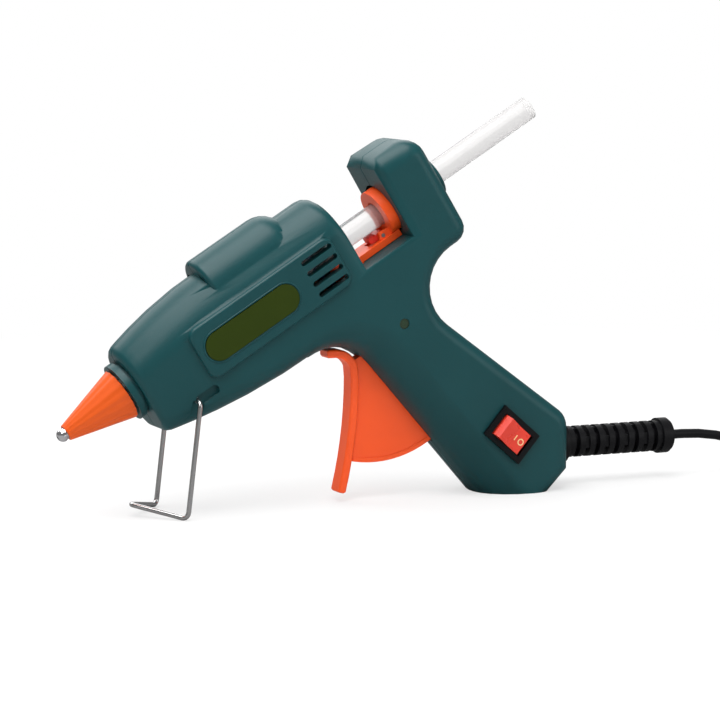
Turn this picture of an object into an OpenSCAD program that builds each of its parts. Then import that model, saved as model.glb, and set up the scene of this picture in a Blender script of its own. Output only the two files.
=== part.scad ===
// Mini hot-melt glue gun for 7 mm sticks, standing on its handle base and wire stand.
// Bench frame: +Z up, origin at the middle of the handle's base face, nozzle towards -X.
// Gun frame: x runs along the barrel axis from the nozzle tip to the rear, z is square to it.

/* [Stance] */
// Nose-down tilt of the barrel axis, degrees
barrel_tilt = 31.5; // [29:0.5:34]
// Horizontal distance from the middle of the base to the nozzle tip
nozzle_reach = 144.3; // [142:0.1:147]
// Height of the nozzle tip above the bench
nozzle_height = 24.4; // [23:0.1:27]

/* [Housing] */
// Half of the housing's width
half_width = 12.5; // [11.5:0.1:14]
// Thickness of the moulded walls
wall = 2; // [1.6:0.1:2.4]
// Front face of the barrel, measured from the nozzle tip
barrel_front = 26.5; // [25:0.1:28]
// Length of the barrel from its front face to the window
barrel_length = 77; // [75:0.5:79]
// Length of the open window in which the stick shows
window_length = 18; // [17:0.1:20]
// Length of the head behind the window
head_length = 17; // [15:0.1:20]
// Height of the barrel's and the head's top above the stick axis
top_height = 17.3; // [16.5:0.1:19]
// Depth of the window's floor below the stick axis
floor_depth = 8.7; // [8.4:0.1:9.6]
// Depth of the barrel's underside below the stick axis, at the trigger
belly_depth = 21.8; // [21:0.1:23]
// Radius of the rounding along the barrel's lower edges
belly_round = 6; // [4:0.1:7]
// Radius of the rounding along the front of the handle
grip_round = 11; // [8:0.1:11.4]
// Radius of the rounding along the other edges of the head and handle
edge_round = 4.5; // [3:0.1:5]
// Radius of the rounding along the head's top edges
head_round = 6.3; // [5.5:0.1:8.5]
// Radius of the concave neck behind the head
neck_radius = 14; // [12:0.5:16]
// Length of the flat face under the handle
base_length = 22; // [20:0.5:24]

/* [Hump] */
// Front face of the heater hump, measured from the nozzle tip
hump_front = 60.3; // [58:0.1:62]
// Length of the heater hump
hump_length = 31; // [29:0.5:33]
// Radius of the heater hump
hump_radius = 10.3; // [9.8:0.1:10.8]
// Height of the hump's top above the stick axis
hump_height = 21.1; // [20.5:0.1:22]

/* [Side panel] */
// Length of the raised side panel
panel_length = 52.5; // [50:0.5:54]
// Height of the raised side panel
panel_height = 16.8; // [15:0.1:18]
// How far the panel stands proud of the housing
panel_rise = 1.2; // [0.5:0.1:1.4]
// Number of vent slots in each panel
vent_count = 4; // [2:1:4]
// Length of a vent slot
vent_length = 11; // [8:0.5:12]
// Height of a vent slot
vent_slot = 1.7; // [1.2:0.1:2]
// Spacing of the vent slots
vent_pitch = 3.65; // [3.2:0.05:3.8]
// Length of the oval badge plate
badge_length = 33; // [28:0.5:34]
// Height of the oval badge plate
badge_height = 8.8; // [7:0.1:10]

/* [Nozzle and heater] */
// Length of the orange cover over the nozzle
cover_length = 20; // [18:0.5:20.5]
// Radius of the cover at its wide end
cover_radius = 8; // [7.4:0.1:8.6]
// Number of flutes round the cover
flute_count = 16; // [10:1:20]
// Radius of the nozzle's ball end
nozzle_ball = 2; // [1.6:0.1:2.2]
// Radius of the nozzle's outlet
outlet_radius = 0.7; // [0.4:0.1:0.9]
// Outer radius of the melt chamber
chamber_radius = 7.2; // [6.8:0.1:7.4]
// Length of the melt chamber
chamber_length = 53; // [51:0.5:54]
// Length of the soft inlet sleeve
sleeve_length = 15; // [12:0.5:15]

/* [Glue stick and feed] */
// Diameter of the glue stick
stick_diameter = 7.2; // [6.8:0.1:7.4]
// Length of the glue stick
stick_length = 100; // [90:1:110]
// Clearance round the stick in its guides
stick_clearance = 0.4; // [0.3:0.05:0.6]
// Outer radius of the carriage's ring
ring_radius = 7.6; // [6.8:0.1:7.8]
// Length of the carriage's ring along the stick
ring_length = 4; // [3:0.1:5]

/* [Trigger] */
// Distance from the nozzle tip to the trigger pivot, along the barrel
pivot_along = 96; // [95:0.1:97]
// Depth of the trigger pivot below the stick axis
pivot_depth = 33; // [32.5:0.1:33.5]
// Radius of the trigger's pivot pin
pivot_pin = 1.5; // [1.2:0.1:1.8]
// Length of the trigger's driving arm, from the pivot to its pin
arm_length = 20; // [19.5:0.1:20.2]
// Travel of the trigger, degrees
trigger_travel = 28; // [22:1:30]
// Radius of the trigger's web
web_radius = 35; // [33:0.5:36]
// Thickness of the trigger's web
web_width = 4; // [3:0.1:4.4]
// Width of the trigger's finger blade
blade_width = 6.5; // [5.5:0.1:8]
// Thickness of the trigger's finger blade
blade_thickness = 2.6; // [2.2:0.1:3]

/* [Stand] */
// Diameter of the stand's wire
wire_diameter = 1.5; // [1.2:0.1:1.8]
// Distance from the nozzle tip to the stand's pivot, along the barrel
stand_along = 38.8; // [37.5:0.1:40]
// Depth of the stand's pivot below the stick axis
stand_depth = 11.7; // [11.2:0.1:12]
// Forward lean of the stand's legs, degrees
leg_lean = 7; // [0:0.5:12]
// Length of the stand's pointed foot
foot_length = 13.5; // [10:0.5:16]
// Upward slope of the foot, degrees
foot_rise = 14; // [8:1:20]

/* [Switch and lamp] */
// Length of the switch's bezel
bezel_length = 15.4; // [14.5:0.1:16]
// Width of the switch's bezel
bezel_width = 11; // [10:0.1:12]
// Height of the bezel over the housing
bezel_rise = 1.2; // [0.8:0.1:1.6]
// Rocking angle of the switch, degrees
rocker_travel = 20; // [14:1:22]
// Diameter of the indicator lamp
lamp_diameter = 3; // [2.6:0.1:3.4]

/* [Cord] */
// Diameter of the mains cord
cord_diameter = 3; // [2.8:0.1:3.2]
// Height of the cord's outlet above the bench
outlet_height = 13.2; // [12.5:0.1:14]
// Length of the strain relief outside the housing
relief_length = 41; // [41:0.5:42]
// Number of ribs on the strain relief
relief_ribs = 10; // [7:1:11]

/* [Hidden] */

housing_green = [0.09, 0.30, 0.31];
feed_orange = [0.95, 0.30, 0.10];
badge_olive = [0.33, 0.36, 0.05];
cord_black = [0.03, 0.03, 0.03];
switch_red = [0.80, 0.10, 0.08];
brass = [0.78, 0.60, 0.30];
steel = [0.72, 0.72, 0.74];
aluminium = [0.75, 0.77, 0.79];
ceramic = [0.90, 0.88, 0.82];
silicone = [0.85, 0.85, 0.82];
stick_white = [0.93, 0.93, 0.92, 0.6];
wire_blue = [0.15, 0.25, 0.70];
wire_brown = [0.35, 0.18, 0.08];

// Clearances: a turning fit, a sliding fit and a gap between parts that only pass each other.
turn_fit = 0.05;
slide_fit = 0.2;
pass_gap = 0.3;
round_steps = 5;

barrel_rear = barrel_front + barrel_length;
head_front = barrel_rear + window_length;
head_rear = head_front + head_length;
stick_radius = stick_diameter / 2;
guide_radius = stick_radius + stick_clearance;
inner_half = half_width - wall;

// ---- Frames -----------------------------------------------------------------------------

// Turns a point of the bench frame into the gun frame.
function to_gun(p) =
    let (dx = p[0] + nozzle_reach, dz = p[1] - nozzle_height)
    [dx * cos(barrel_tilt) + dz * sin(barrel_tilt), dz * cos(barrel_tilt) - dx * sin(barrel_tilt)];

// Turns a point of the gun frame into the bench frame.
function to_bench(p) = [
    p[0] * cos(barrel_tilt) - p[1] * sin(barrel_tilt) - nozzle_reach,
    p[0] * sin(barrel_tilt) + p[1] * cos(barrel_tilt) + nozzle_height
];

// Places gun-frame children on the bench.
module in_gun() {
    translate([-nozzle_reach, 0, nozzle_height]) rotate([0, -barrel_tilt, 0]) children();
}

// Places bench-frame children in the gun frame.
module in_bench() {
    rotate([0, barrel_tilt, 0]) translate([nozzle_reach, 0, -nozzle_height]) children();
}

// Extrudes a side view from y_low to y_high.
module side_plate(y_low, y_high) {
    translate([0, y_high, 0]) rotate([90, 0, 0]) linear_extrude(y_high - y_low) children();
}

// A cylinder along the gun's x axis, from x_low to x_high.
module along_axis(x_low, x_high, r, r_end = -1) {
    translate([x_low, 0, 0]) rotate([0, 90, 0])
        cylinder(h = x_high - x_low, r1 = r, r2 = r_end < 0 ? r : r_end, $fn = 64);
}

// A cylinder across the gun, from y_low to y_high, at a side-view point.
module across(p, y_low, y_high, r) {
    translate([p[0], y_high, p[1]]) rotate([90, 0, 0]) cylinder(h = y_high - y_low, r = r, $fn = 32);
}

// ---- Edge-rounded plates and lofts ------------------------------------------------------

function unit(v) = v / norm(v);
function turned(v) = [-v[1], v[0]];
function arc(centre, r, from, to, steps) =
    [for (i = [0 : steps]) centre + r * [cos(from + (to - from) * i / steps), sin(from + (to - from) * i / steps)]];

// Full inward shift of outline corner i. The outline runs anticlockwise as a list of [x, y, round],
// where round is the rounding of the edge that leaves the corner.
function inward(pts, i) =
    let (
        n = len(pts),
        here = [pts[i][0], pts[i][1]],
        before = [pts[(i + n - 1) % n][0], pts[(i + n - 1) % n][1]],
        after = [pts[(i + 1) % n][0], pts[(i + 1) % n][1]],
        a = turned(unit(here - before)),
        b = turned(unit(after - here)),
        ra = pts[(i + n - 1) % n][2],
        rb = pts[i][2],
        bend = a[0] * b[1] - a[1] * b[0],
        middle = unit(a + b)
    )
    abs(bend) < 0.45
        ? middle * (ra + rb) / 2 / (middle * a)
        : [(ra * b[1] - rb * a[1]) / bend, (rb * a[0] - ra * b[0]) / bend];

// Rings of a half plate that stands on the middle plane and whose outer edge is rounded.
// How deep the rounding goes at a corner: the smaller of its two edges, unless one is sharp.
function corner_depth(a, b) = a == 0 || b == 0 ? max(a, b) : min(a, b);

function plate_rings(pts, half, steps = round_steps) =
    let (shift = [for (i = [0 : len(pts) - 1]) inward(pts, i)])
    concat(
        [[for (p = pts) [p[0], 0, p[1]]]],
        [for (k = [0 : steps])
            let (turn = 90 * k / steps)
            [for (i = [0 : len(pts) - 1])
                let (
                    r = corner_depth(pts[i][2], pts[(i + len(pts) - 1) % len(pts)][2]),
                    q = [pts[i][0], pts[i][1]] + shift[i] * (1 - cos(turn))
                )
                [q[0], half - r * (1 - sin(turn)), q[1]]]]
    );

// A closed solid through equal rings of points with flat ends. The rings turn clockwise
// about the direction in which they follow each other.
module rings_solid(rings) {
    count = len(rings[0]);
    last = len(rings) - 1;
    first_cap = [for (i = [count - 1 : -1 : 0]) i];
    last_cap = [for (i = [0 : count - 1]) last * count + i];
    walls = [
        for (k = [0 : last - 1])
            for (i = [0 : count - 1])
                let (j = (i + 1) % count, a = k * count + i, b = k * count + j, c = a + count, d = b + count)
                for (f = [[a, b, c], [b, d, c]]) f
    ];
    polyhedron([for (ring = rings) for (p = ring) p], concat([first_cap, last_cap], walls), convexity = 8);
}

// ---- Housing forms ----------------------------------------------------------------------

// Barrel measures at a place along the axis, all easing towards the front face.
function ease(x, from, to) = pow(max(0, (to - x) / (to - from)), 2);
function barrel_half(x) = half_width - 1.5 * ease(x, barrel_front, barrel_front + 34);
function barrel_top(x) = top_height - 4.7 * ease(x, barrel_front, barrel_front + 34);
function barrel_belly(x) = -belly_depth + 6.4 * ease(x, barrel_front, barrel_front + 53);

// Half of a barrel section: round top, straight side and rounded lower edge, drawn in by a skin.
function barrel_section(x, skin, rim_top = 0, rim = 0) =
    let (
        fine = skin == 0,
        half = barrel_half(x) - skin - rim,
        top = barrel_top(x) - skin - rim_top,
        low = barrel_belly(x) + skin + rim,
        round = max(0.8, belly_round - skin - rim)
    )
    [for (p = concat(
        arc([0, top - half], half, 90, 0, fine ? 10 : 5),
        arc([half - round, low + round], round, 0, -90, fine ? 4 : 2),
        [[0, low]]
    )) [x, p[0], p[1]]];

front_rim = 2;
rear_rim = 4.5;
side_rim = 1.2;

// Half of the barrel's outer form, with a rounded front rim and a rear rim that is rounder on top.
module barrel_form() {
    rings_solid(concat(
        [for (turn = [0 : 30 : 60])
            barrel_section(barrel_front + front_rim * (1 - cos(turn)), 0,
                front_rim * (1 - sin(turn)), front_rim * (1 - sin(turn)))],
        [for (k = [0 : 6]) barrel_section(barrel_front + front_rim + k * k * 1.3 + k, 0)],
        [for (turn = [0 : 22.5 : 90])
            barrel_section(barrel_rear - rear_rim * (1 - sin(turn)), 0,
                rear_rim * (1 - cos(turn)), side_rim * (1 - cos(turn)))]
    ));
}

// Half of the space inside the barrel.
module barrel_space() {
    rings_solid([for (x = concat([for (k = [0 : 4]) barrel_front + wall + k * 12], [barrel_rear - wall - 0.8]))
        barrel_section(x, wall)]);
}

// Outline of the head, neck and handle, anticlockwise, as [x, z, edge rounding] in the gun frame.
grip_slope = 49;
grip_back = 17.4;
heel_round = 7;
heel_chamfer = 6.5;
finger_radius = 17;
head_depth = 19;
head_corner = edge_round + 0.3;
top_corner = head_round + 0.3;
window_edge = 1.2;
head_front_edge = 2.6;
head_nick = 2.6;
nick_round = (head_round + head_front_edge - head_nick) / sqrt(2) + 0.1;
neck_centre = [head_rear - 7.6, -head_depth - neck_radius];
base_front = to_gun([-base_length / 2, 0]);
front_turn = grip_slope + barrel_tilt;
finger_centre = let (z = -belly_depth - finger_radius)
    [base_front[0] - (z - base_front[1]) / tan(front_turn) - finger_radius / sin(front_turn), z];
heel_centre = [grip_back - heel_round, outlet_height + 6.3];
heel_arc = [for (p = arc(heel_centre, heel_round, 0, 52, 4)) to_gun(p)];
heel_end = heel_arc[4];
neck_reach = norm(heel_end - neck_centre);
neck_turn = atan2(heel_end[1] - neck_centre[1], heel_end[0] - neck_centre[0]) + 360
    - acos(neck_radius / neck_reach);

function rounded(points, r) = [for (p = points) [p[0], p[1], r]];
finger_arc = arc(finger_centre, finger_radius, 90, 90 - front_turn, 9);
grip_outline = concat(
    [[base_front[0], base_front[1], 0]],
    rounded([
        to_gun([base_length / 2, 0]),
        to_gun([grip_back, heel_chamfer])
    ], edge_round),
    rounded(heel_arc, edge_round),
    rounded(arc(neck_centre, neck_radius, neck_turn, 90, 10), edge_round),
    rounded(arc([head_rear - head_corner, head_corner - head_depth], head_corner, -90, 0, 4), edge_round),
    [for (k = [0 : 6])
        let (p = arc([head_rear - top_corner, top_height - top_corner], top_corner, 0, 90, 6)[k])
        [p[0], p[1], edge_round + (head_round - edge_round) * k / 6]],
    [
        [head_front + head_nick, top_height, nick_round],
        [head_front, top_height - head_nick, head_front_edge],
        [head_front, -floor_depth, window_edge],
        [finger_centre[0] - 11, -floor_depth, belly_round]
    ],
    [for (k = [0 : 9]) [finger_arc[k][0], finger_arc[k][1],
        belly_round + (grip_round - belly_round) * min(1, k / 7)]]
);

// The same outline drawn in by a skin, for the space inside.
function drawn_in(pts, skin) =
    let (even = [for (p = pts) [p[0], p[1], skin]])
    [for (i = [0 : len(pts) - 1])
        let (q = inward(even, i))
        [pts[i][0] + q[0], pts[i][1] + q[1], max(0, pts[i][2] - skin)]];

// The heater hump over the barrel, a revolved form with a soft rear end.
module hump_form(skin) {
    r = hump_radius - skin;
    long = hump_length - 2 * skin;
    front_round = 1.4;
    rear_round = 8 - skin;
    translate([hump_front + skin, 0, hump_height - hump_radius]) rotate([0, 90, 0])
        rotate_extrude($fn = 64) polygon(concat(
            [[0, 0]],
            arc([r - front_round, front_round], front_round, -90, 0, 4),
            arc([r - rear_round, long - rear_round], rear_round, 0, 90, 7),
            [[0, long]]
        ));
}

// ---- Side panel, badge and vents --------------------------------------------------------

panel_rear = barrel_rear - 5.5;
panel_front = panel_rear - panel_length;
panel_middle = -0.8;
panel_edge = 0.9;
panel_corner = 3;
badge_place = [panel_front + 19, panel_middle - 0.2];
badge_sink = 0.5;
badge_proud = 0.3;
vent_rear = panel_rear - 0.8;

function rounded_box(centre, wide, high, r) = concat(
    arc(centre + [wide / 2 - r, high / 2 - r], r, 0, 90, 4),
    arc(centre + [r - wide / 2, high / 2 - r], r, 90, 180, 4),
    arc(centre + [r - wide / 2, r - high / 2], r, 180, 270, 4),
    arc(centre + [wide / 2 - r, r - high / 2], r, 270, 360, 4)
);

module panel_form() {
    outline = rounded(rounded_box([(panel_front + panel_rear) / 2, panel_middle],
        panel_length, panel_height, panel_corner), panel_edge);
    rings = plate_rings(outline, half_width + panel_rise);
    low = [for (p = rings[0]) [p[0], inner_half + 0.4, p[2]]];
    rings_solid(concat([low], [for (k = [1 : round_steps + 1]) rings[k]]));
}

// A slot or plate with round ends, centred on the origin.
module round_bar(long, high) {
    square([long - high, high], center = true);
    for (side = [-1, 1])
        translate([side * (long - high) / 2, 0]) circle(d = high, $fn = 32);
}

module vent_cuts() {
    for (k = [0 : vent_count - 1])
        side_plate(inner_half - 2, half_width + panel_rise + 1)
            translate([vent_rear - vent_length / 2, panel_middle + 5.5 - k * vent_pitch])
                round_bar(vent_length, vent_slot);
}

// ---- Housing halves ---------------------------------------------------------------------

spigot_radius = 9.2;
spigot_length = 2.9;
collar_radius = 6;
pocket_half = 6;
pocket_top = hump_height - wall - 3;
rib_thickness = 1.6;
rib_places = [barrel_front + 12.5, hump_front - 3, hump_front + 21];
post_radius = 3.4;
screw_radius = 1.25;
screw_head = 2.3;
screw_head_height = 1.8;
screw_seat = 8;
screw_reach = 7;
fixed_fit = 0.02;
slot_half = web_width / 2 + 0.6;
pivot = [pivot_along, -pivot_depth];
pivot_bench = to_bench(pivot);
hub_radius = 4.2;
pin_half = 7.6;
switch_place = [-3.7, 18.8];
switch_turn = -41;
lamp_place = to_gun([-39.4, 54.4]);
screw_places = [
    [barrel_front + 6.2, -10.9],
    [hump_front + 6, -15.2],
    [head_front - 8, -23],
    [head_rear - 7.2, top_height - 5.8],
    to_gun([-20, 42]),
    to_gun([2.5, 5.2])
];
fork_half = 4.3;
spring_level = -13;
spring_anchor = [head_rear - 10.6, spring_level];
peg_radius = 1.4;
stand_pivot = [stand_along, -stand_depth];
wire_radius = wire_diameter / 2;
peg_inner = 8.5;
travel = 2 * arm_length * sin(trigger_travel / 2);
relief_neck = 4;
clamp_place = [8.7, outlet_height];
clamp_reach = 5.6;
clamp_screw = 1;
clamp_screw_reach = 5;
clamp_post = 2.3;

module half_space() {
    translate([-20, 0, -140]) cube([220, 60, 200]);
}

// Outer form of one half, on the +Y side.
module half_outside() {
    barrel_form();
    rings_solid(plate_rings(grip_outline, half_width));
    panel_form();
    intersection() {
        hump_form(0);
        half_space();
    }
}

// The space inside one half, less the ribs that carry the melt chamber.
module half_inside() {
    difference() {
        union() {
            barrel_space();
            intersection() {
                hump_form(wall);
                half_space();
            }
        }
        for (x = rib_places)
            translate([x, -1, -30]) cube([rib_thickness, 20, 60]);
    }
    rings_solid(plate_rings(drawn_in(grip_outline, wall), inner_half, 2));
}

// Posts and bosses that stand on the side wall.
module half_posts() {
    for (p = screw_places) across(p, 0, inner_half + 0.5, post_radius);
    across(pivot, slot_half, inner_half + 0.5, pivot_pin + 2);
    across(stand_pivot, peg_inner - 1, inner_half, wire_radius + 1.4);
}

// Openings with flat sides, and the vents.
module half_openings() {
    translate([hump_front, -1, 0]) cube([hump_length - 4, pocket_half + 1.4, pocket_top + 0.4]);
    // Way for the carriage's bar and fork through the barrel's rear wall and the window's floor
    translate([fork_front - travel - 1.3, -1, fork_low - 2])
        cube([travel + fork_rear - fork_front + 1.6, fork_half + 1.4, bar_top + 1 - fork_low + 2]);
    // Slot for the trigger's web
    in_bench() translate([pivot_bench[0], 0, pivot_bench[1]]) side_plate(-slot_half, slot_half)
        polygon(concat([[0, 0]], arc([0, 0], web_radius + 0.8, -154, -45, 14)));
    // Pocket round the stand's pivot, with one way down and one way back
    side_plate(barrel_half(stand_along) - 1.1, half_width + 2) {
        translate(stand_pivot) rotate(-barrel_tilt - 97) translate([0, -1.7]) square([12, 3.8]);
        translate(stand_pivot + [3.4, 0]) round_bar(8, 3);
    }
    vent_cuts();
}

// The free-form body of a half, kept as one mesh.
module half_body() {
    resize([0, 0, 0]) difference() {
        half_outside();
        difference() {
            half_inside();
            half_posts();
        }
        half_openings();
    }
}

// Round bores and seats on or across the barrel's axis.
module half_bores() {
    along_axis(barrel_front - spigot_length - 1, barrel_front + wall + 1, collar_radius + pass_gap);
    along_axis(barrel_front + wall, hump_front + 20, chamber_radius + slide_fit);
    along_axis(hump_front + 18, barrel_rear + 1, guide_radius + 2.6);
    along_axis(head_front - 1, head_front + 5, ring_radius + 1);
    along_axis(head_rear - wall - 1, head_rear + 3, guide_radius);
    across(pivot, -slot_half, slot_half, hub_radius + 1.2);
    across(pivot, -1, pin_half, pivot_pin + fixed_fit);
    across(stand_pivot, peg_inner - 0.2, half_width + 2, wire_radius + turn_fit);
    in_bench() translate([grip_back - wall - 1, 0, outlet_height]) rotate([0, 90, 0])
        cylinder(h = wall + 3, r = relief_neck + fixed_fit, $fn = 48);
}

module housing_half() {
    difference() {
        union() {
            half_body();
            intersection() {
                union() {
                    along_axis(barrel_front - 0.9, barrel_front + 1, spigot_radius - 0.8);
                    along_axis(barrel_front - spigot_length, barrel_front - 0.9, spigot_radius);
                    along_axis(head_rear - 1, head_rear + 1.8, guide_radius + 2.8);
                }
                half_space();
            }
            across(spring_anchor, 0, inner_half + 0.5, peg_radius);
        }
        half_bores();
    }
}

module right_shell() {
    color(housing_green) in_gun() difference() {
        housing_half();
        for (p = screw_places) {
            across(p, -1, half_width + 1, screw_radius + 0.1);
            across(p, screw_seat, half_width + 2, screw_head + 0.2);
        }
    }
}

module left_shell() {
    color(housing_green) in_gun() difference() {
        union() {
            mirror([0, 1, 0]) housing_half();
            in_bench() translate([clamp_place[0], 0, clamp_place[1]])
                for (side = [-1, 1])
                    translate([0, -cord_radius, side * clamp_reach]) rotate([90, 0, 0])
                        cylinder(h = inner_half + 0.5 - cord_radius, r = clamp_post, $fn = 32);
        }
        in_bench() translate([clamp_place[0], 0, clamp_place[1]])
            for (side = [-1, 1])
                translate([0, 0, side * clamp_reach]) rotate([90, 0, 0])
                    cylinder(h = clamp_screw_reach, r = clamp_screw + fixed_fit, $fn = 24);
        for (p = screw_places) across(p, -screw_reach, 1, screw_radius + fixed_fit);
        side_plate(-half_width - 5, badge_sink - half_width - panel_rise)
            translate(badge_place) round_bar(badge_length + 0.2, badge_height + 0.2);
        in_bench() translate([switch_place[0], 0, switch_place[1]]) rotate([0, -switch_turn, 0])
            translate([0, 1 - half_width, 0]) cube([bezel_length - 2, 6, bezel_width - 2], center = true);
        across(lamp_place, -half_width - 1, 1 - inner_half, lamp_diameter / 2 + 0.1);
    }
}

module side_badge() {
    color(badge_olive) in_gun()
        side_plate(-half_width - panel_rise - badge_proud, badge_sink - half_width - panel_rise)
            translate(badge_place) round_bar(badge_length, badge_height);
}

module case_screws() {
    color(steel) in_gun()
        for (p = screw_places) {
            across(p, -screw_reach, screw_seat, screw_radius);
            difference() {
                across(p, screw_seat, screw_seat + screw_head_height, screw_head);
                for (turn = [0, 90])
                    translate([p[0], screw_seat + screw_head_height, p[1]]) rotate([0, turn, 0])
                        cube([2.8, 1.4, 0.6], center = true);
            }
        }
}

// ---- Nozzle and heater ------------------------------------------------------------------

cover_front = 3;
cover_rear = cover_front + cover_length;
shank_radius = 3.2;
shank_end = barrel_front + 6;
neck_front = barrel_front - 2.2;
neck_rear = barrel_front + 10;
chamber_rear = barrel_front - 2.2 + chamber_length;
inlet_radius = stick_radius + 0.5;
socket_radius = 5.2;
sleeve_start = chamber_rear - 4;
sleeve_radius = 6;
sleeve_rear = sleeve_start + sleeve_length;

module nozzle() {
    color(brass) in_gun() rotate([0, 90, 0]) rotate_extrude($fn = 64) polygon(concat(
        [[outlet_radius, 0.2]],
        arc([0, nozzle_ball], nozzle_ball, -64, -8, 7),
        [
            [nozzle_ball * 0.9, cover_front - 0.4],
            [nozzle_ball * 0.92, cover_front + 0.4],
            [cover_radius - 3.2, cover_rear - 6],
            [cover_radius - 2.4, cover_rear - 3],
            [cover_radius - 2.4, neck_front],
            [shank_radius, neck_front],
            [shank_radius, shank_end],
            [outlet_radius + 1, shank_end],
            [outlet_radius + 1, nozzle_ball + 4],
            [outlet_radius, nozzle_ball + 2]
        ]
    ));
}

module nozzle_cover() {
    small = (nozzle_ball + 0.5) / cover_radius;
    flute = 0.035;
    steps = flute_count * 6;
    color(feed_orange) in_gun() difference() {
        translate([cover_rear, 0, 0]) rotate([0, -90, 0])
            linear_extrude(cover_length, scale = small) polygon([for (k = [0 : steps - 1])
                let (turn = 360 * k / steps, r = cover_radius * (1 - flute * (0.5 + 0.5 * cos(flute_count * turn))))
                r * [cos(turn), sin(turn)]]);
        along_axis(cover_front - 1, cover_rear - 6, 1.75, cover_radius - 3);
        along_axis(cover_rear - 6.01, cover_rear + 1, cover_radius - 2.2);
    }
}

module melt_chamber() {
    pocket_front = hump_front + 2;
    color(aluminium) in_gun() difference() {
        union() {
            along_axis(neck_front, neck_rear, collar_radius);
            along_axis(neck_rear, sleeve_start - 2, chamber_radius);
            along_axis(sleeve_start - 2, chamber_rear, socket_radius);
            side_plate(-pocket_half, pocket_half) polygon([
                [pocket_front, 0],
                [sleeve_start - 2, 0],
                [sleeve_start - 2, tablet_floor - 1.3],
                [pocket_front + hump_length - 9, tablet_floor - 1.3],
                [pocket_front + hump_length - 9, pocket_top],
                [pocket_front, pocket_top]
            ]);
        }
        along_axis(neck_front - 1, shank_end + 0.01, shank_radius + fixed_fit);
        along_axis(shank_end, shank_end + 8, 1.7, inlet_radius);
        along_axis(shank_end + 7.99, chamber_rear + 1, inlet_radius);
        translate([pocket_front - 1, -tablet_width / 2 - 0.1, tablet_floor])
            cube([hump_length, tablet_width + 0.2, pocket_top - tablet_floor - 1.4]);
    }
}

tablet_width = 9;
tablet_length = 19;
tablet_floor = 8.6;
tablet_thickness = 2.2;
plate_thickness = 0.5;
plate_overhang = 3;

module heater_tablet() {
    color(ceramic) in_gun() translate([hump_front + 3, -tablet_width / 2, tablet_floor + plate_thickness])
        cube([tablet_length, tablet_width, tablet_thickness]);
}

module heater_electrodes() {
    color(steel) in_gun()
        for (level = [tablet_floor, tablet_floor + plate_thickness + tablet_thickness])
            translate([hump_front + 3, -tablet_width / 2, level])
                cube([tablet_length + plate_overhang, tablet_width, plate_thickness]);
}

module heater_wedge() {
    low = tablet_floor + 2 * plate_thickness + tablet_thickness;
    color(aluminium) in_gun() side_plate(-tablet_width / 2, tablet_width / 2) polygon([
        [hump_front + 3, low],
        [hump_front + 3 + tablet_length, low],
        [hump_front + 3 + tablet_length, pocket_top - 1.4],
        [hump_front + 3, pocket_top - 1.8]
    ]);
}

module inlet_sleeve() {
    color(silicone) in_gun() difference() {
        along_axis(sleeve_start, sleeve_rear, sleeve_radius);
        along_axis(sleeve_start - 1, chamber_rear, socket_radius + fixed_fit);
        along_axis(chamber_rear - 0.01, sleeve_rear + 1, stick_radius + 0.15);
    }
}

clip_wire = 0.45;

module sleeve_clip() {
    color(steel) in_gun() translate([sleeve_start + 2, 0, 0]) rotate([0, 90, 0]) rotate_extrude($fn = 48)
        translate([sleeve_radius + clip_wire + fixed_fit, 0]) circle(r = clip_wire, $fn = 16);
}

// ---- Glue stick and feed ----------------------------------------------------------------

stick_rear = head_rear + 40;
ring_rear = head_front + 1.2;
ring_front = ring_rear - ring_length;
bar_top = -floor_depth + 2.2;
bar_low = -floor_depth + slide_fit;
bar_half = 4.4;
pin_rest = pivot + arm_length * [sin(trigger_travel / 2), cos(trigger_travel / 2)];
drive_pin_radius = 1.2;
fork_front = pin_rest[0] - 2.5;
fork_rear = pin_rest[0] + 5.6;
fork_low = pin_rest[1] - 2.9;
fork_gap = web_width / 2 + slide_fit;
spring_peg = [pin_rest[0] + 4.2, spring_level];
jaw_pivot = [ring_front - 2.6, bar_top + 1];
jaw_length = 4.4;
jaw_half = 2;

module glue_stick() {
    color(stick_white) in_gun() along_axis(stick_rear - stick_length, stick_rear, stick_radius);
}

module feed_carriage() {
    color(feed_orange) in_gun() difference() {
        union() {
            along_axis(ring_front, ring_rear, ring_radius);
            translate([fork_front, -bar_half, bar_low])
                cube([head_front - pass_gap - fork_front, 2 * bar_half, bar_top - bar_low]);
            for (side = [-1, 1]) {
                y_low = side > 0 ? fork_gap : -fork_half;
                y_high = side > 0 ? fork_half : -fork_gap;
                side_plate(y_low, y_high) polygon([
                    [fork_front, bar_low + 0.5],
                    [fork_front, fork_low],
                    [fork_front + 5, fork_low],
                    [fork_rear, spring_level - 1.8],
                    [fork_rear, bar_low + 0.5]
                ]);
                side_plate(side > 0 ? 2.3 : -3.7, side > 0 ? 3.7 : -2.3) polygon([
                    [jaw_pivot[0] - 1.6, bar_top - 0.5],
                    [jaw_pivot[0] + 3, bar_top - 0.5],
                    [jaw_pivot[0] + 3, jaw_pivot[1] + 1],
                    [jaw_pivot[0] - 1, jaw_pivot[1] + 1.4]
                ]);
            }
            across(spring_peg, -fork_gap - 0.5, fork_gap + 0.5, 0.9);
        }
        along_axis(ring_front - 5, ring_rear + 1, guide_radius);
        // Slots in the fork in which the driving pin rises and falls
        side_plate(-fork_half - 1, fork_half + 1) translate(pin_rest + [0, 0.3])
            rotate(90) round_bar(2 * drive_pin_radius + 1.1, 2 * drive_pin_radius + 0.2);
        // Bed for the jaw
        translate([jaw_pivot[0] - jaw_length - 0.6, -jaw_half - pass_gap, bar_top - 0.8])
            cube([jaw_length + 3, 2 * (jaw_half + pass_gap), 1.6]);
        across(jaw_pivot, -5, 5, 0.6 + fixed_fit);
    }
}

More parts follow.
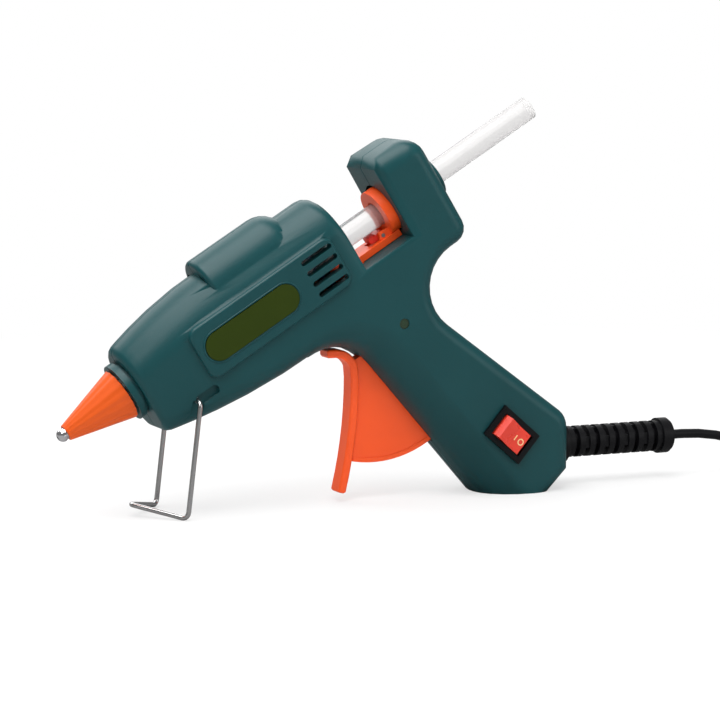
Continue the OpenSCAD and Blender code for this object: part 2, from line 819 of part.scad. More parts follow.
// Toothed jaw: its teeth lie under the stick and rise into it as the trigger is pulled.
module grip_jaw() {
    tooth = 0.8;
    teeth = 4;
    top = jaw_pivot[1] + 1.5;
    start = jaw_pivot[0] - jaw_length;
    color(switch_red) in_gun() difference() {
        side_plate(-jaw_half, jaw_half) polygon(concat(
            [jaw_pivot + [1.5, -0.9], jaw_pivot + [1.5, 0.6], jaw_pivot + [0.3, 1.4]],
            [for (k = [teeth : -1 : 1]) each [
                [start + (k - 0.4) * tooth, top - tooth * 0.8],
                [start + (k - 1) * tooth, top]
            ]],
            [[start + 0.2, jaw_pivot[1] - 0.5], [start + 1.2, jaw_pivot[1] - 0.9]]
        ));
        across(jaw_pivot, -5, 5, 0.6 + turn_fit);
    }
}

module jaw_pin() {
    color(steel) in_gun() across(jaw_pivot, -3.7, 3.7, 0.6);
}

// ---- Trigger ----------------------------------------------------------------------------

blade_curve = 140;
hook_radius = 4.8;
hook_centre = [-12.3, -7.3];
hook_lip = 2.4;
// Straight stretch between the blade's long curve and its hook
hook_stem = 1.6;
blade_drop = 34;
blade_centre = hook_centre + [hook_radius - blade_curve, -hook_stem];
blade_sweep = asin(blade_drop / blade_curve);
blade_edge = 0.8;
web_rear_turn = -50;
arm_half = 2.4;

end_round = 0.5;
// Upper and front edge of the web, from the hub to the back of the blade, seen from the pivot
web_front = [[2.6, 2.6], [-2.6, 2.6], [-4, -2.4], [-7.4, -4.4], [-6.4, -8], [-6.2, -17]];

// Section across the finger blade at a place on its middle line, slimmer by a margin.
function blade_ring(p, way, less) = [
    for (q = rounded_box([0, 0], blade_thickness - less, blade_width - less, blade_edge - less / 4))
        let (side = q[0] * turned(way))
        [p[0] + side[0], q[1], p[1] + side[1]]
];

module trigger() {
    line = concat(
        arc(blade_centre, blade_curve + blade_thickness / 2, -blade_sweep, 0, 7),
        arc(hook_centre, hook_radius + blade_thickness / 2, 18, 90, 6),
        [hook_centre + [-hook_lip, hook_radius + blade_thickness / 2]]
    );
    last = len(line) - 1;
    ways = [for (i = [0 : last]) unit(line[min(last, i + 1)] - line[max(0, i - 1)])];
    color(feed_orange) translate([pivot_bench[0], 0, pivot_bench[1]]) difference() {
        union() {
            rings_solid(concat(
                [blade_ring(line[0] - end_round * ways[0], ways[0], 2 * end_round)],
                [for (i = [0 : last]) blade_ring(line[i], ways[i], 0)],
                [blade_ring(line[last] + end_round * ways[last], ways[last], 2 * end_round)]
            ));
            side_plate(-web_width / 2, web_width / 2) polygon(concat(
                web_front,
                arc([0, 0], web_radius, -103.5, web_rear_turn, 12)
            ));
            side_plate(-web_width / 2 - 0.3, web_width / 2 + 0.3) polygon(concat(
                arc([0, 0], web_radius, -101, web_rear_turn, 12),
                arc([0, 0], web_radius - 1.3, web_rear_turn, -101, 12)
            ));
            rotate([90, 0, 0]) cylinder(h = web_width, r = hub_radius, center = true, $fn = 48);
            rotate([0, -barrel_tilt + trigger_travel / 2, 0])
                translate([-arm_half, -web_width / 2, 0]) cube([2 * arm_half, web_width, arm_length]);
            rotate([0, -barrel_tilt + trigger_travel / 2, 0]) translate([0, 0, arm_length])
                rotate([90, 0, 0]) cylinder(h = web_width, r = arm_half, center = true, $fn = 32);
        }
        rotate([90, 0, 0]) cylinder(h = 20, r = pivot_pin + turn_fit, center = true, $fn = 32);
        rotate([0, -barrel_tilt + trigger_travel / 2, 0]) translate([0, 0, arm_length])
            rotate([90, 0, 0]) cylinder(h = 20, r = drive_pin_radius + fixed_fit, center = true, $fn = 32);
    }
}

module trigger_pin() {
    color(steel) in_gun() across(pivot, -pin_half, pin_half, pivot_pin);
}

module drive_pin() {
    color(steel) in_gun() across(pin_rest, -fork_half, fork_half, drive_pin_radius);
}

// Direction of a route at one of its points, and a side vector carried along it without twist.
function ahead(points, i) = unit(points[min(len(points) - 1, i + 1)] - points[max(0, i - 1)]);
function squared(side, along) = unit(side - (side * along) * along);
function carried_sides(points, start) = [
    for (
        i = 0, side = squared(start, ahead(points, 0));
        i < len(points);
        i = i + 1, side = i < len(points) ? squared(side, ahead(points, i)) : side
    ) side
];

// Round wire or cable along a route of points. The start vector lies across its first stretch.
module routed(points, r, sides, start = [0, 0, 1]) {
    across_route = carried_sides(points, start);
    rings_solid([for (i = [0 : len(points) - 1])
        let (side = across_route[i], up = cross(side, ahead(points, i)))
        [for (k = [0 : sides - 1])
            points[i] + r * (cos(360 * k / sides) * side + sin(360 * k / sides) * up)]]);
}

// The same route with its inner corners bent to a radius.
function bent(points, r, steps) = concat(
    [points[0]],
    [for (i = [1 : len(points) - 2])
        let (
            u = unit(points[i] - points[i - 1]),
            v = unit(points[i + 1] - points[i]),
            turn = acos(u * v),
            centre = points[i] + unit(v - u) * r / cos(turn / 2),
            a = points[i] - u * r * tan(turn / 2) - centre,
            b = points[i] + v * r * tan(turn / 2) - centre
        )
        for (k = [0 : steps])
            centre + (a * sin(turn * (1 - k / steps)) + b * sin(turn * k / steps)) / sin(turn)],
    [points[len(points) - 1]]
);

// A smooth route through chosen points: each stretch is cut into steps along a cubic curve.
function smooth(points, steps) =
    let (n = len(points))
    concat(
        [for (i = [0 : n - 2])
            let (
                a = points[max(0, i - 1)], b = points[i],
                c = points[i + 1], d = points[min(n - 1, i + 2)]
            )
            for (k = [0 : steps - 1])
                let (t = k / steps)
                0.5 * (2 * b + (c - a) * t + (2 * a - 5 * b + 4 * c - d) * t * t
                    + (3 * b - a - 3 * c + d) * t * t * t)],
        [points[n - 1]]
    );

spring_radius = 1.5;
spring_wire = 0.35;
spring_turns = 9;
spring_start = spring_peg[0] + 1.9;
spring_end = spring_anchor[0] - 2.1;

// One wire: a loop round the carriage's peg, the coils, and a loop round the housing's peg.
module return_spring() {
    steps = 10;
    loop_near = spring_wire + 0.9;
    loop_far = spring_wire + peg_radius + turn_fit;
    coils = [for (k = [0 : spring_turns * steps])
        let (turn = 360 * k / steps)
        [
            spring_start + (spring_end - spring_start) * k / (spring_turns * steps),
            spring_radius * sin(turn),
            spring_level + spring_radius * cos(turn)
        ]];
    color(steel) in_gun() routed(concat(
        [for (turn = [40 : -32 : -280])
            [spring_peg[0] + loop_near * cos(turn), 0, spring_level + loop_near * sin(turn)]],
        coils,
        [for (turn = [100 : -32 : -220])
            [spring_anchor[0] + loop_far * cos(turn), 0, spring_level + loop_far * sin(turn)]]
    ), spring_wire, 5);
}

// ---- Stand ------------------------------------------------------------------------------

leg_offset = half_width + pass_gap + wire_radius;
stand_bench = to_bench(stand_pivot);
wire_bend = 1.8;
leg_way = [-sin(leg_lean), 0, -cos(leg_lean)];
foot_way = unit([-foot_length * cos(foot_rise), leg_offset, foot_length * sin(foot_rise)]);
// How far the underside of the bend at the heel stays above the corner that it rounds
heel_rise = let (turn = acos(leg_way * foot_way), inside = unit(foot_way - (foot_way * leg_way) * leg_way))
    wire_bend * (unit(foot_way - leg_way)[2] / cos(turn / 2) - norm([leg_way[2], inside[2]]));
leg_long = (stand_bench[1] - wire_radius + heel_rise) / cos(leg_lean);
foot_bench = stand_bench - leg_long * [sin(leg_lean), cos(leg_lean)];
tip_bench = foot_bench + foot_length * [-cos(foot_rise), sin(foot_rise)];

// One bent wire: a pivot end, a leg, the pointed foot, the other leg and its pivot end.
module wire_stand() {
    function shoulder(side) = [stand_bench[0], side * leg_offset, stand_bench[1]];
    function heel(side) = [foot_bench[0], side * leg_offset, foot_bench[1]];
    function bend_start(side) = [stand_bench[0], side * (leg_offset - wire_bend - 0.1), stand_bench[1]];
    color(steel) {
        routed(bent([
            bend_start(-1), shoulder(-1), heel(-1),
            [tip_bench[0], 0, tip_bench[1]],
            heel(1), shoulder(1), bend_start(1)
        ], wire_bend, 5), wire_radius, 12);
        for (side = [-1, 1])
            translate([stand_bench[0], 0, stand_bench[1]]) rotate([side * 90, 0, 0])
                translate([0, 0, -leg_offset + wire_bend + 0.1])
                    cylinder(h = leg_offset - wire_bend - 0.1 - peg_inner, r = wire_radius, $fn = 32);
    }
}

// ---- Switch and lamp --------------------------------------------------------------------

bezel_rim = 1.7;
switch_depth = 11;
terminal_offset = 3.2;
terminal_length = 4.5;
rocker_radius = 5.8;
rocker_axle = 2.6;
rocker_pin = 0.9;
face_out = half_width + bezel_rise;

// Places children on the switch: x along its length, z across it, y = 0 on the bezel's face.
module on_switch() {
    translate([switch_place[0], -face_out, switch_place[1]]) rotate([0, -switch_turn, 0]) children();
}

module switch_body() {
    open_x = bezel_length - 2 * bezel_rim;
    open_z = bezel_width - 2 * bezel_rim;
    color(cord_black) on_switch() difference() {
        union() {
            translate([-bezel_length / 2, 0, -bezel_width / 2])
                cube([bezel_length, bezel_rise, bezel_width]);
            translate([-bezel_length / 2 + 1.2, 0, -bezel_width / 2 + 1.2])
                cube([bezel_length - 2.4, switch_depth, bezel_width - 2.4]);
        }
        translate([-open_x / 2, -1, -open_z / 2]) cube([open_x, rocker_axle + 6, open_z]);
        translate([0, rocker_axle, 0])
            cylinder(h = open_z + 1, r = rocker_pin + turn_fit, center = true, $fn = 32);
    }
}

module switch_rocker() {
    wide = bezel_width - 2 * bezel_rim - 0.4;
    rest = rocker_travel / 2;
    color(switch_red) on_switch() translate([0, rocker_axle, 0]) rotate([0, 0, rest]) {
        translate([0, 0, -wide / 2]) linear_extrude(wide) polygon(concat(
            arc([0, 0], rocker_radius, -142, -182, 6),
            [[-3.4, 2.6], [3.4, 2.6]],
            arc([0, 0], rocker_radius, 2, -38, 6),
            [[0, -rocker_axle - 0.3]]
        ));
        cylinder(h = wide + 1.2, r = rocker_pin, center = true, $fn = 32);
    }
}

module switch_terminals() {
    color(brass) on_switch()
        for (side = [-1, 1])
            translate([side * terminal_offset - 1.6, switch_depth, -0.3]) cube([3.2, terminal_length, 0.6]);
}

module indicator_lamp() {
    color([0.10, 0.28, 0.10]) in_gun() {
        across(lamp_place, -half_width + 0.3, 0.4 - inner_half, lamp_diameter / 2);
        across(lamp_place, 0.4 - inner_half - 0.4, 3.4 - inner_half, lamp_diameter / 2 + 0.5);
    }
    color(steel) in_gun()
        for (side = [-0.8, 0.8])
            across(lamp_place + [side, 0], 3.4 - inner_half, 6.4 - inner_half, 0.25);
}

// ---- Leads inside the handle ------------------------------------------------------------

lead_radius = 0.7;
sheath_inner = clamp_place[0] - 5;
lead_apart = 0.79;
lead_side = inner_half - 2.2;
terminal_end = switch_depth + terminal_length - face_out + fixed_fit;

// Side view place of a switch terminal.
function terminal_place(side) =
    switch_place + side * terminal_offset * [cos(switch_turn), sin(switch_turn)];

// The straight first and last stretch of a lead, square to the face that it meets.
function lead_start(p, way) = [for (k = [0 : 2]) p + 0.7 * k * way];
function lead_end(p, way) = [for (k = [2 : -1 : 0]) p + 0.7 * k * way];

module switch_lead() {
    end = terminal_place(1);
    color(wire_brown) routed(smooth(concat(
        lead_start([sheath_inner, 0, outlet_height - lead_apart], [-1, 0, 0]),
        [
            [end[0] - 1.8, 2.8, outlet_height - 0.6],
            [end[0] - 1, terminal_end + 3, end[1] - 1.6]
        ],
        lead_end([end[0], terminal_end, end[1]], [0, 1, 0])
    ), 3), lead_radius, 6, [0, 1, 0]);
}

// Both mains leads run up the side wall, past the trigger's pivot, to the heater's plates.
lead_waist = pivot + [9, -6.5];
lead_neck = pivot + [5, 11];
lead_gate = [barrel_rear - 8.5, spring_level + 0.5];
lead_step = 3;
plates_end = hump_front + 3 + tablet_length + plate_overhang + fixed_fit;

module heater_lead() {
    end = terminal_place(-1);
    start = to_gun(end);
    level = tablet_floor + tablet_thickness + 1.5 * plate_thickness;
    color(wire_brown) in_gun() routed(smooth(concat(
        lead_start([start[0], terminal_end, start[1]], [0, 1, 0]),
        [
            [start[0] - 2.6, 6, start[1] + 5],
            [lead_waist[0] + 1.3, lead_side, lead_waist[1] - 12],
            [lead_waist[0], lead_side, lead_waist[1]],
            [lead_neck[0], lead_side, lead_neck[1]],
            [lead_gate[0], 7, lead_gate[1]],
            [plates_end + 6.5, 8, 0],
            [plates_end + 4.8, 6.4, level - 4]
        ],
        lead_end([plates_end, 3.2, level], [1, 0, 0])
    ), 3), lead_radius, 6, [1, 0, 0]);
}

module neutral_lead() {
    start = [sheath_inner, outlet_height + lead_apart];
    leave = to_gun(start);
    bend = to_gun(start + [-2.5, 1.4]);
    rise = to_gun(start + [-1, 8]);
    level = tablet_floor + plate_thickness / 2;
    color(wire_blue) in_gun() routed(smooth(concat(
        lead_start([leave[0], 0, leave[1]], [-cos(barrel_tilt), 0, sin(barrel_tilt)]),
        [
            [bend[0], 1.4, bend[1]],
            [rise[0], 5, rise[1]],
            [lead_waist[0] + 1.3 + lead_step, lead_side, lead_waist[1] - 12],
            [lead_waist[0] + lead_step, lead_side, lead_waist[1]],
            [lead_neck[0] + lead_step, lead_side, lead_neck[1]],
            [lead_gate[0] + 2, 8.6, lead_gate[1] + lead_step],
            [plates_end + 9.5, 7.6, 0],
            [plates_end + 6, 4, level - 2.4]
        ],
        lead_end([plates_end, 0.6, level], [1, 0, 0])
    ), 3), lead_radius, 6, [1, 0, 0]);
}

// ---- Cord outlet ------------------------------------------------------------------------

relief_radius = 4.9;
relief_core = 3.1;
relief_end = grip_back + relief_length;
collar_length = 4;
flange_length = 2.4;
clamp_bar = 2;
cord_radius = cord_diameter / 2;

// A ring on the cord's outlet axis, from x_low to x_high.
module outlet_ring(x_low, x_high, r) {
    translate([x_low, 0, outlet_height]) rotate([0, 90, 0]) cylinder(h = x_high - x_low, r = r, $fn = 48);
}

module strain_relief() {
    pitch = (relief_length - flange_length - collar_length) / relief_ribs;
    rib = pitch * 0.56;
    color(cord_black) difference() {
        union() {
            outlet_ring(grip_back - wall - 1.8, grip_back - wall - 0.02, relief_neck + 1.6);
            outlet_ring(grip_back - wall - 0.03, grip_back + 0.03, relief_neck);
            outlet_ring(grip_back + 0.02, grip_back + flange_length, relief_radius + 1.1);
            outlet_ring(grip_back + flange_length - 0.1, relief_end - collar_length + 0.1, relief_core);
            for (k = [0 : relief_ribs - 1]) {
                x = grip_back + flange_length + k * pitch;
                outlet_ring(x + pitch - rib, x + pitch, relief_radius);
                translate([x + (pitch - rib) / 2, 0, outlet_height]) rotate([90 * (k % 2), 0, 0])
                    cube([pitch - rib + 0.1, 2 * relief_radius - 1.2, 3.4], center = true);
            }
            outlet_ring(relief_end - collar_length, relief_end - 0.8, relief_radius + 0.7);
            outlet_ring(relief_end - 0.81, relief_end, relief_radius + 0.1);
        }
        outlet_ring(grip_back - 10, relief_end + 1, cord_radius + fixed_fit);
    }
}

module cord_sheath() {
    color(cord_black) outlet_ring(sheath_inner, relief_end, cord_radius);
}

module cord_clamp() {
    color(housing_green) difference() {
        translate([clamp_place[0] - 2.5, cord_radius, clamp_place[1] - clamp_reach - 2.6])
            cube([5, clamp_bar, 2 * clamp_reach + 5.2]);
        for (side = [-1, 1])
            translate([clamp_place[0], 0, clamp_place[1] + side * clamp_reach]) rotate([-90, 0, 0])
                cylinder(h = 10, r = clamp_screw + 0.1, $fn = 24);
    }
}

module clamp_screws() {
    color(steel) for (side = [-1, 1])
        translate([clamp_place[0], 0, clamp_place[1] + side * clamp_reach]) rotate([-90, 0, 0]) {
            translate([0, 0, cord_radius + clamp_bar]) cylinder(h = 1.4, r = 1.9, $fn = 32);
            translate([0, 0, -clamp_screw_reach])
                cylinder(h = clamp_screw_reach + cord_radius + clamp_bar, r = clamp_screw, $fn = 24);
        }
}

// ---- Cord on the bench ------------------------------------------------------------------

cord_points = [
    [64, 0, 13.2], [70, 0, 12.9], [76, -0.6, 12.1], [82, -2.4, 10.6], [88, -5.6, 8.2],
    [94, -10, 5.4], [100, -14.4, 3], [106, -17.9, 1.8], [112, -19.6, 1.5]
];
tail_points = [
    [112, 13.4, 6.9], [106.9, 12.4, 7.1], [102.6, 9.4, 7.9], [99.7, 5.1, 9.1], [98.7, 0, 10.6],
    [99.8, -5, 12.1], [102.9, -9.1, 13.4], [106.6, -11.8, 14.2], [110.5, -12.8, 14.4], [112.5, -12.8, 14.4]
];
coil_place = [112, 0];
coil_radius = 16.5;
coil_width = 12.4;
coil_height = 8.4;
tie_thickness = 0.5;

module power_cord() {
    color(cord_black) routed(concat([[relief_end, 0, outlet_height]], cord_points), cord_radius, 8);
}

// Cross-section of the coiled turns, standing on the bench, with a margin round it.
module coil_section(margin) {
    polygon(rounded_box([coil_radius, coil_height / 2], coil_width + 2 * margin,
        coil_height + 2 * margin, cord_radius + margin));
}

module cord_coil() {
    color(cord_black) translate(coil_place) rotate_extrude($fn = 64) coil_section(0);
}

// A strap bent over the turns.
module cord_tie() {
    color(cord_black) translate(coil_place) rotate([90, 0, 45]) linear_extrude(3, center = true)
        difference() {
            intersection() {
                coil_section(tie_thickness);
                square([100, 100]);
            }
            coil_section(0.05);
            square([100, 2]);
        }
}

module cord_tail() {
    color(cord_black) routed(tail_points, cord_radius, 8);
}

plug_start = tail_points[len(tail_points) - 1];
plug_grip = 8;
plug_body = 16;
plug_height = 12;
plug_width = 17;

// Places children on the plug, with +Z out of its face.
module on_plug() {
    translate(plug_start) rotate([0, 90, 0]) rotate([0, 0, 90]) children();
}

module plug() {
    color(cord_black) on_plug() {
        cylinder(h = plug_grip, r1 = 3, r2 = 4.4, $fn = 32);
        for (k = [0 : 2])
            translate([0, 0, 1 + 2.3 * k]) cylinder(h = 1.2, r = 4.7, $fn = 32);
        translate([0, 0, plug_grip]) linear_extrude(plug_body)
            polygon(rounded_box([0, 0], plug_width, plug_height, 2.5));
    }
}

blade_spacing = 12.7;
blade_long = 16;

module plug_blades() {
    color(brass) on_plug() translate([0, 0, plug_grip + plug_body])
        for (side = [-1, 1])
            translate([side * blade_spacing / 2 - 0.75, -3.2, 0]) cube([1.5, 6.4, blade_long]);
}

left_shell();
right_shell();
side_badge();
case_screws();
nozzle();
nozzle_cover();
melt_chamber();
inlet_sleeve();
sleeve_clip();
heater_tablet();
heater_electrodes();
heater_wedge();
glue_stick();
feed_carriage();
grip_jaw();
jaw_pin();
trigger();
trigger_pin();
drive_pin();
return_spring();
wire_stand();
switch_body();
switch_rocker();
switch_terminals();
indicator_lamp();
switch_lead();
heater_lead();
neutral_lead();
strain_relief();
cord_sheath();
cord_clamp();
clamp_screws();
power_cord();
cord_coil();
cord_tie();
cord_tail();
plug();
plug_blades();
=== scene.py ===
import math

import bmesh
import bpy
from mathutils import Matrix, Vector


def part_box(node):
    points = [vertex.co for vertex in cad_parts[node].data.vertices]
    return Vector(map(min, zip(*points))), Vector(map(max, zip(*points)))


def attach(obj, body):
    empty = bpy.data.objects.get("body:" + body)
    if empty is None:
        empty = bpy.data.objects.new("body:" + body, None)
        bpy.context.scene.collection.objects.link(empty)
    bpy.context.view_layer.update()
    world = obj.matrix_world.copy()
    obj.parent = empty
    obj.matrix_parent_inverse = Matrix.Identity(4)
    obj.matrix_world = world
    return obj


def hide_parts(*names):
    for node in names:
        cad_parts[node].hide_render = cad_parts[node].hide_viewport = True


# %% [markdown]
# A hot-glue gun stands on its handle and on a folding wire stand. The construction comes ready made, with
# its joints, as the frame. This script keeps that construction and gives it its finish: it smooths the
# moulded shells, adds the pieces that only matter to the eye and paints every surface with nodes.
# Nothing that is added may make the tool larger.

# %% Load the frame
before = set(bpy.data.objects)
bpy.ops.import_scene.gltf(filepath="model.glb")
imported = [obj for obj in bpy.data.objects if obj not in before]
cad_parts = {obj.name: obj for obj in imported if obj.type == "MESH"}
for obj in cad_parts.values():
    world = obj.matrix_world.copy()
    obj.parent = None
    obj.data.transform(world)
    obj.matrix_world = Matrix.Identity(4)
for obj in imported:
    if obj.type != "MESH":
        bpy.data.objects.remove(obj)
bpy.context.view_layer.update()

# %% [markdown]
# The camera stands low in front of the nozzle's side, turned 24 degrees to the left and 7 degrees up, and
# far enough away for the tool to look almost parallel. It is placed by its angle and its distance from a
# point in the middle of the tool, so that it can be moved round that point later.

# %% Camera
CAMERA_TURN = math.radians(-24)
CAMERA_RISE = math.radians(7)
CAMERA_DISTANCE = 0.9
CAMERA_LENS = 145.2
CAMERA_TARGET = Vector((-0.03905, 0.02116, 0.04199))

backwards = Vector((
    math.sin(CAMERA_TURN) * math.cos(CAMERA_RISE),
    -math.cos(CAMERA_TURN) * math.cos(CAMERA_RISE),
    math.sin(CAMERA_RISE),
))
rightwards = Vector((math.cos(CAMERA_TURN), math.sin(CAMERA_TURN), 0))
upwards = backwards.cross(rightwards)

bpy.ops.object.camera_add()
camera = bpy.context.object
camera.name = "camera"
camera.matrix_world = (
    Matrix.Translation(CAMERA_TARGET + backwards * CAMERA_DISTANCE)
    @ Matrix((rightwards, upwards, backwards)).transposed().to_4x4()
)
camera.data.lens = CAMERA_LENS
camera.data.clip_end = 10
bpy.context.scene.camera = camera
print("camera at", [round(v, 3) for v in camera.location])

# %% [markdown]
# The power cord is a thin round lead, 3 mm across. It leaves the ribbed strain relief level, sags to the
# bench and is put away in a neat round coil of ten turns, eleven diameters across at the middle of the
# turns. One spline follows the whole lead: listed points where it runs free, a loop of code where it
# is wound, and a short tail to the plug. Each point carries the cord's radius and the bevel is one unit
# deep, so that the curve's own box fits the cord.

# %% Cord route
CORD_RADIUS = 0.0015
RELIEF_END = (0.0584, 0, 0.0132)
CORD_POINTS = [
    (0.064, 0, 0.0132), (0.070, 0, 0.0129), (0.076, -0.0006, 0.0121), (0.082, -0.0024, 0.0106),
    (0.088, -0.0056, 0.0082), (0.094, -0.010, 0.0054), (0.100, -0.0144, 0.003), (0.106, -0.0179, 0.0018),
    (0.112, -0.0196, 0.0015),
]
TAIL_POINTS = [
    (0.112, 0.0134, 0.0069), (0.1069, 0.0124, 0.0071), (0.1026, 0.0094, 0.0079), (0.0997, 0.0051, 0.0091),
    (0.0987, 0, 0.0106), (0.0998, -0.005, 0.0121), (0.1029, -0.0091, 0.0134), (0.1066, -0.0118, 0.0142),
    (0.1105, -0.0128, 0.0144), (0.1125, -0.0128, 0.0144),
]
COIL_CENTRE = (0.112, 0)
COIL_RADIUS = 0.0165
TURN_PITCH = 0.0031
LAYER_PITCH = 0.0027
STEPS_PER_TURN = 16
SLIP_SHARE = 0.33

# each layer's turns, by how far they lie from the middle radius, in the order in which they are wound
layers = [
    (0, [1, 0, -1]),
    (1, [-1.5, -0.5, 0.5, 1.5]),
    (2, [1, 0, -1]),
]
turns = [(level, place) for level, places in layers for place in places]


def coil_points():
    """The wound turns: each keeps its own radius and slips to the next over its last third."""
    points = []
    total = len(turns) * STEPS_PER_TURN - STEPS_PER_TURN // 2
    for step in range(1, total):
        turn, part = divmod(step / STEPS_PER_TURN, 1)
        here = turns[min(int(turn), len(turns) - 1)]
        after = turns[min(int(turn) + 1, len(turns) - 1)]
        slip = max(0.0, part - (1 - SLIP_SHARE)) / SLIP_SHARE
        slip = slip * slip * (3 - 2 * slip)
        level = here[0] + (after[0] - here[0]) * slip
        place = here[1] + (after[1] - here[1]) * slip
        radius = COIL_RADIUS + place * TURN_PITCH
        angle = math.radians(-90) + step / STEPS_PER_TURN * math.tau
        points.append((
            COIL_CENTRE[0] + radius * math.cos(angle),
            COIL_CENTRE[1] + radius * math.sin(angle),
            CORD_RADIUS + level * LAYER_PITCH,
        ))
    return points


cord_route = [RELIEF_END, *CORD_POINTS, *coil_points(), *TAIL_POINTS]
cord_curve = bpy.data.curves.new("power_lead", "CURVE")
cord_curve.dimensions = "3D"
cord_curve.bevel_depth = 1
cord_curve.bevel_resolution = 3
cord_curve.use_fill_caps = True
spline = cord_curve.splines.new("POLY")
spline.points.add(len(cord_route) - 1)
for point, place in zip(spline.points, cord_route):
    point.co = (*place, 1)
    point.radius = CORD_RADIUS
power_lead = bpy.data.objects.new("power_lead", cord_curve)
bpy.context.scene.collection.objects.link(power_lead)

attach(power_lead, "housing")
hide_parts("power_cord", "cord_coil", "cord_tail")

# %% [markdown]
# Every surface is painted with nodes that read Object coordinates, which here are metres in the tool's own
# frame. Three effects come up again and again on moulded plastic and on metal, so each is built once as a
# node group with named inputs and outputs: a fine spark-eroded grain that only lifts the surface, a slow
# drift of tone that breaks up a flat colour, and handling marks that make the gloss uneven.

# %% Node group helpers
def new_group(name, inputs, outputs):
    """An empty shader node group with float sockets, and its input and output nodes."""
    group = bpy.data.node_groups.new(name, "ShaderNodeTree")
    for label, start in inputs:
        socket = group.interface.new_socket(label, in_out="INPUT", socket_type="NodeSocketFloat")
        socket.default_value = start
    for label in outputs:
        group.interface.new_socket(label, in_out="OUTPUT", socket_type="NodeSocketFloat")
    entry = group.nodes.new("NodeGroupInput")
    leave = group.nodes.new("NodeGroupOutput")
    return group, entry, leave


def add_noise(tree, coordinates, detail, roughness):
    """A noise texture read at the coordinates. Its Scale is left for the group's own input."""
    noise = tree.nodes.new("ShaderNodeTexNoise")
    noise.inputs["Detail"].default_value = detail
    noise.inputs["Roughness"].default_value = roughness
    tree.links.new(coordinates, noise.inputs["Vector"])
    return noise


def add_math(tree, operation, first, second):
    """One math node. An input is a socket or a number."""
    node = tree.nodes.new("ShaderNodeMath")
    node.operation = operation
    for socket, value in zip(node.inputs, (first, second)):
        if isinstance(value, (int, float)):
            socket.default_value = value
        else:
            tree.links.new(value, socket)
    return node.outputs[0]


# %% [markdown]
# The mould's grain could be real displacement, but on most pieces it is only a few hundredths of a
# millimetre deep, so a height for a Bump node is enough and keeps the mesh light. The drift and the marks
# are slower noises. Both are centred before they are spread, so that a tone or a roughness moves to either
# side of its plain value.

# %% Moulded grain, tone drift and handling marks
def make_grain():
    """Height of a fine moulded texture: Size is its grains in one metre, Depth its strength."""
    group, entry, leave = new_group("moulded_grain", [("Size", 2500), ("Depth", 1)], ["Height"])
    place = group.nodes.new("ShaderNodeTexCoord").outputs["Object"]
    noise = add_noise(group, place, 3, 0.6)
    group.links.new(entry.outputs["Size"], noise.inputs["Scale"])
    height = add_math(group, "MULTIPLY", noise.outputs["Fac"], entry.outputs["Depth"])
    group.links.new(height, leave.inputs["Height"])
    return group


def make_drift():
    """A mask that wanders slowly between 0 and 1: Size is its patches in one metre."""
    group, entry, leave = new_group("tone_drift", [("Size", 40), ("Contrast", 1.5)], ["Mask"])
    place = group.nodes.new("ShaderNodeTexCoord").outputs["Object"]
    noise = add_noise(group, place, 4, 0.55)
    group.links.new(entry.outputs["Size"], noise.inputs["Scale"])
    centred = add_math(group, "SUBTRACT", noise.outputs["Fac"], 0.5)
    spread = add_math(group, "MULTIPLY", centred, entry.outputs["Contrast"])
    mask = add_math(group, "ADD", spread, 0.5)
    group.links.new(mask, leave.inputs["Mask"])
    return group


def make_marks():
    """Roughness that smears and fine rubbing add to a plain value."""
    group, entry, leave = new_group(
        "handling_marks", [("Roughness", 0.35), ("Amount", 0.08), ("Size", 120)], ["Roughness"])
    place = group.nodes.new("ShaderNodeTexCoord").outputs["Object"]
    smear = add_noise(group, place, 5, 0.7)
    group.links.new(entry.outputs["Size"], smear.inputs["Scale"])
    centred = add_math(group, "SUBTRACT", smear.outputs["Fac"], 0.5)
    change = add_math(group, "MULTIPLY", centred, entry.outputs["Amount"])
    rough = add_math(group, "ADD", entry.outputs["Roughness"], change)
    group.links.new(rough, leave.inputs["Roughness"])
    return group


GRAIN = make_grain()
DRIFT = make_drift()
MARKS = make_marks()
print("node groups:", GRAIN.name, DRIFT.name, MARKS.name)

# %% [markdown]
# A finish is a Principled shader with the groups plugged in: two close tones mixed by the slow drift, the
# handling marks on the roughness, and the grain through a Bump node. Numbers that are the same all over,
# such as the coat of a polished moulding, are set on the shader's own sockets.

# %% Finish helper
def place_group(tree, group, **values):
    """One of the groups, placed in a material with this material's own values."""
    node = tree.nodes.new("ShaderNodeGroup")
    node.node_tree = group
    for label, value in values.items():
        node.inputs[label].default_value = value
    return node


def finish(name, light, dark, roughness, marks=0.08, drift=40, grain=2500, depth=0.02, **sockets):
    """A material of two close tones. depth is the grain's height in millimetres."""
    material = bpy.data.materials.new(name)
    material.use_nodes = True
    tree = material.node_tree
    shader = tree.nodes["Principled BSDF"]
    mask = place_group(tree, DRIFT, Size=drift)
    tones = tree.nodes.new("ShaderNodeMix")
    tones.data_type = "RGBA"
    tones.inputs["A"].default_value = (*dark, 1)
    tones.inputs["B"].default_value = (*light, 1)
    tree.links.new(mask.outputs["Mask"], tones.inputs["Factor"])
    tree.links.new(tones.outputs["Result"], shader.inputs["Base Color"])
    rubbed = place_group(tree, MARKS, Roughness=roughness, Amount=marks)
    tree.links.new(rubbed.outputs["Roughness"], shader.inputs["Roughness"])
    texture = place_group(tree, GRAIN, Size=grain)
    bump = tree.nodes.new("ShaderNodeBump")
    bump.inputs["Distance"].default_value = depth / 1000
    tree.links.new(texture.outputs["Height"], bump.inputs["Height"])
    tree.links.new(bump.outputs["Normal"], shader.inputs["Normal"])
    for label, value in sockets.items():
        shader.inputs[label.replace("_", " ")].default_value = value
    return material


